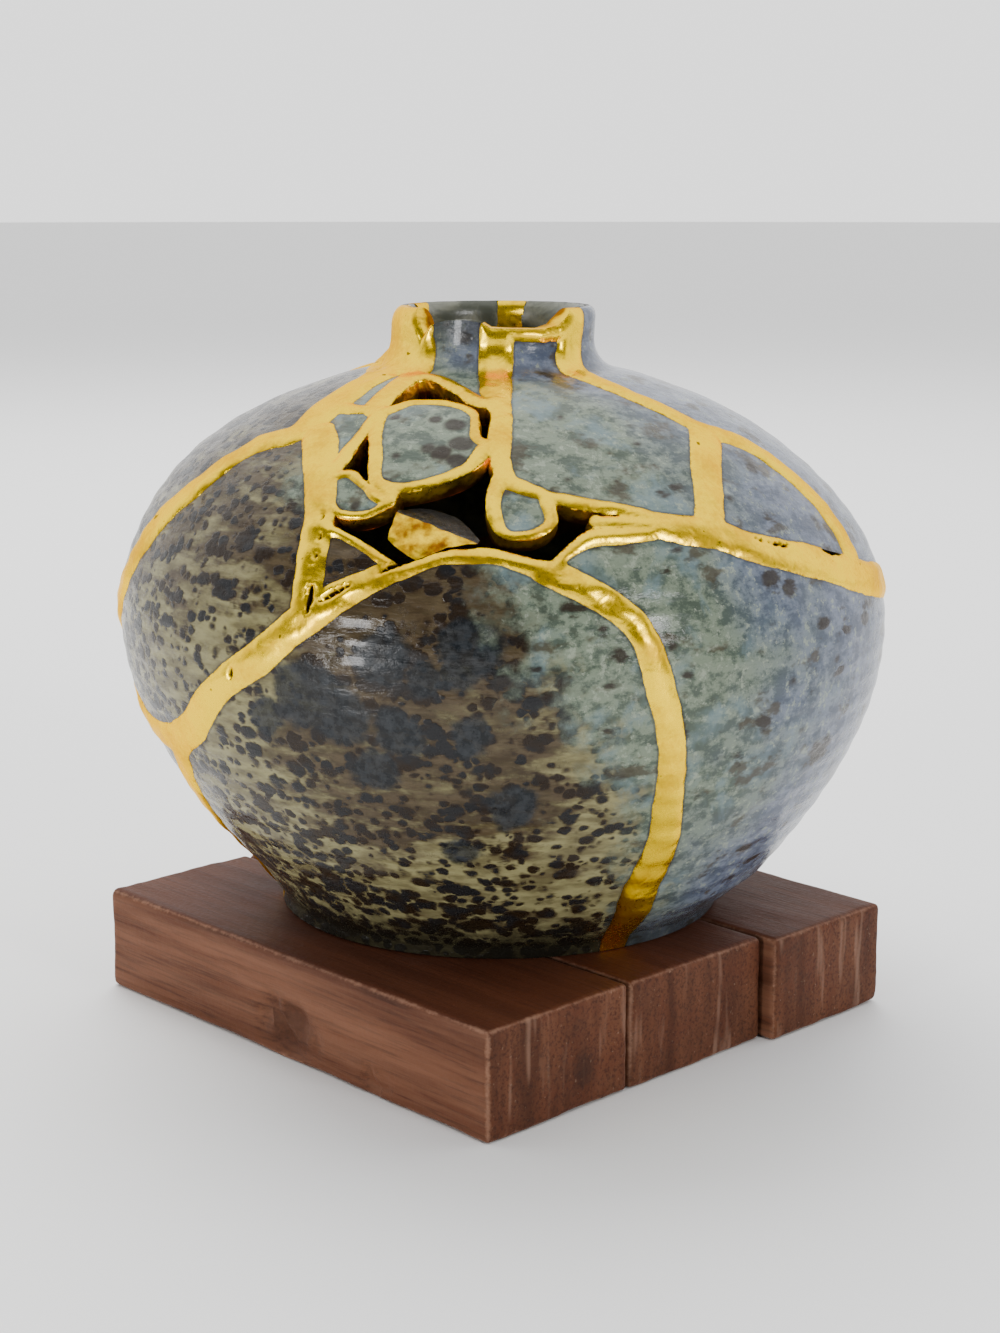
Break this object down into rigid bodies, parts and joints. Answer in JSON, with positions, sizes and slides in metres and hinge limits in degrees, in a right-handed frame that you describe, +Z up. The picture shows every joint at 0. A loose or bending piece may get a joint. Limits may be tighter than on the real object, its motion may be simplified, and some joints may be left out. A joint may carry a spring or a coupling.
{
  "type": "mended vase",
  "caption": "Wide round stoneware vase with a short neck, broken and mended with raised gold seams, some gaps left open, standing on a three-board wooden base.",
  "frame": {"origin": "middle of the underside of the wooden stand", "axes": "+Z up, X along the boards with their end grain facing +X, board_front towards -Y"},
  "size_m": [0.1863, 0.1867, 0.1726],
  "materials": {
    "walnut_wood": "oiled reddish-brown wood, worn lighter edges",
    "gold_lacquer": "polished gold over raised lacquer",
    "olive_glaze": "glossy olive oil-spot glaze with dark brown spots",
    "blue_glaze": "glossy mottled blue-grey glaze"
  },
  "bodies": {
    "root": {"board_back": "walnut_wood", "board_front": "walnut_wood", "board_middle": "walnut_wood", "gold_seams": "gold_lacquer", "sherd_belly_back": "olive_glaze", "sherd_belly_back_left": "olive_glaze", "sherd_belly_front": "olive_glaze", "sherd_belly_right": "blue_glaze", "sherd_chip_dark": "olive_glaze", "sherd_chip_grey": "blue_glaze", "sherd_chip_light": "blue_glaze", "sherd_leaf": "blue_glaze", "sherd_left": "olive_glaze", "sherd_neck_front": "blue_glaze", "sherd_neck_left": "blue_glaze", "sherd_round": "blue_glaze", "sherd_shoulder_back": "olive_glaze", "sherd_shoulder_back_left": "olive_glaze", "sherd_shoulder_back_right": "blue_glaze", "sherd_shoulder_front": "blue_glaze", "sherd_shoulder_right": "blue_glaze", "sherd_tipped": "olive_glaze", "sherd_triangle": "blue_glaze"}
  },
  "joints": []
}
